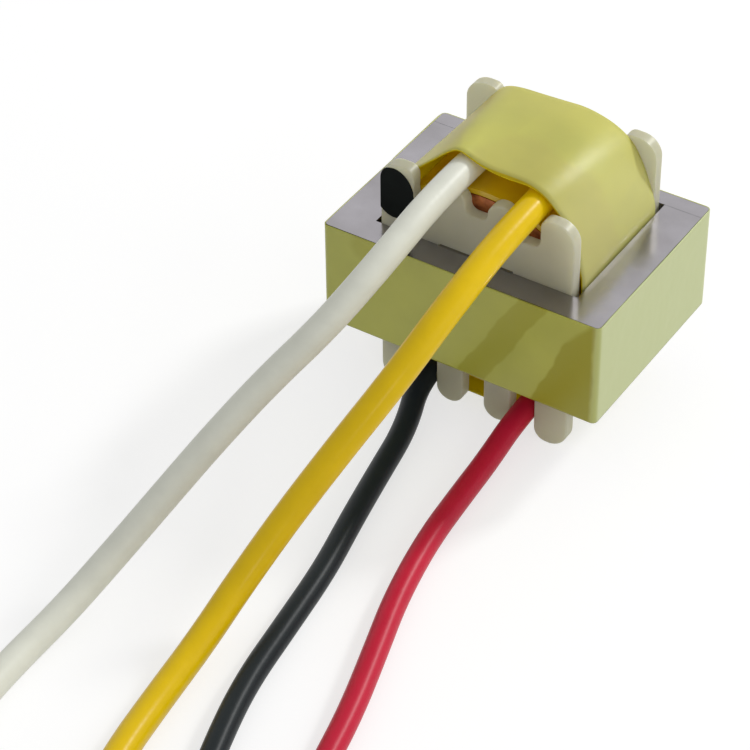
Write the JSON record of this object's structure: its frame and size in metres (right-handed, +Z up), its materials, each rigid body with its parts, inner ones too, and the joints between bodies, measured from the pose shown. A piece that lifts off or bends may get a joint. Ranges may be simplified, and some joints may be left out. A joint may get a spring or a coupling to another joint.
{
  "type": "small transformer with wire leads",
  "caption": "Small taped transformer on a laminated steel core, with a moulded bobbin and insulated wire leads; couples, matches or isolates a low-power signal.",
  "frame": {"origin": "on the ground, under the middle of the core", "axes": "+X along the long side of the core, -Y the side where the leads leave, +Z up"},
  "size_m": [0.0248, 0.0615, 0.0188],
  "materials": {
    "lamination": "oiled and annealed sheet, low gloss",
    "core_tape": "pale yellow polyester film, wetted out in patches",
    "coil_tape": "pale yellow polyester film, smooth",
    "bobbin": "natural nylon, slightly see-through",
    "copper": "enamelled copper wire",
    "white_insulation": "smooth plasticised vinyl",
    "yellow_insulation": "smooth plasticised vinyl",
    "black_insulation": "glossy plasticised vinyl",
    "red_insulation": "glossy plasticised vinyl",
    "tinned_wire": "bright tin",
    "solder": "satin solder",
    "ink": "marker ink, matt"
  },
  "bodies": {
    "root": {"e_lamination_01": "lamination", "e_lamination_02": "lamination", "e_lamination_03": "lamination", "e_lamination_04": "lamination", "e_lamination_05": "lamination", "e_lamination_06": "lamination", "e_lamination_07": "lamination", "e_lamination_08": "lamination", "e_lamination_09": "lamination", "e_lamination_10": "lamination", "e_lamination_11": "lamination", "e_lamination_12": "lamination", "e_lamination_13": "lamination", "e_lamination_14": "lamination", "i_lamination_01": "lamination", "i_lamination_02": "lamination", "i_lamination_03": "lamination", "i_lamination_04": "lamination", "i_lamination_05": "lamination", "i_lamination_06": "lamination", "i_lamination_07": "lamination", "i_lamination_08": "lamination", "i_lamination_09": "lamination", "i_lamination_10": "lamination", "i_lamination_11": "lamination", "i_lamination_12": "lamination", "i_lamination_13": "lamination", "i_lamination_14": "lamination", "core_tape": "core_tape", "bobbin": "bobbin", "primary_winding": "copper", "secondary_winding": "copper", "interlayer_tape": "coil_tape", "inner_tape": "coil_tape", "outer_tape": "coil_tape", "white_lead": "white_insulation", "white_lead_tip": "tinned_wire", "white_solder_joint": "solder", "yellow_lead": "yellow_insulation", "yellow_lead_tip": "tinned_wire", "yellow_solder_joint": "solder", "black_lead": "black_insulation", "black_lead_tip": "tinned_wire", "black_solder_joint": "solder", "red_lead": "red_insulation", "red_lead_tip": "tinned_wire", "red_solder_joint": "solder", "polarity_dot": "ink"}
  },
  "joints": []
}
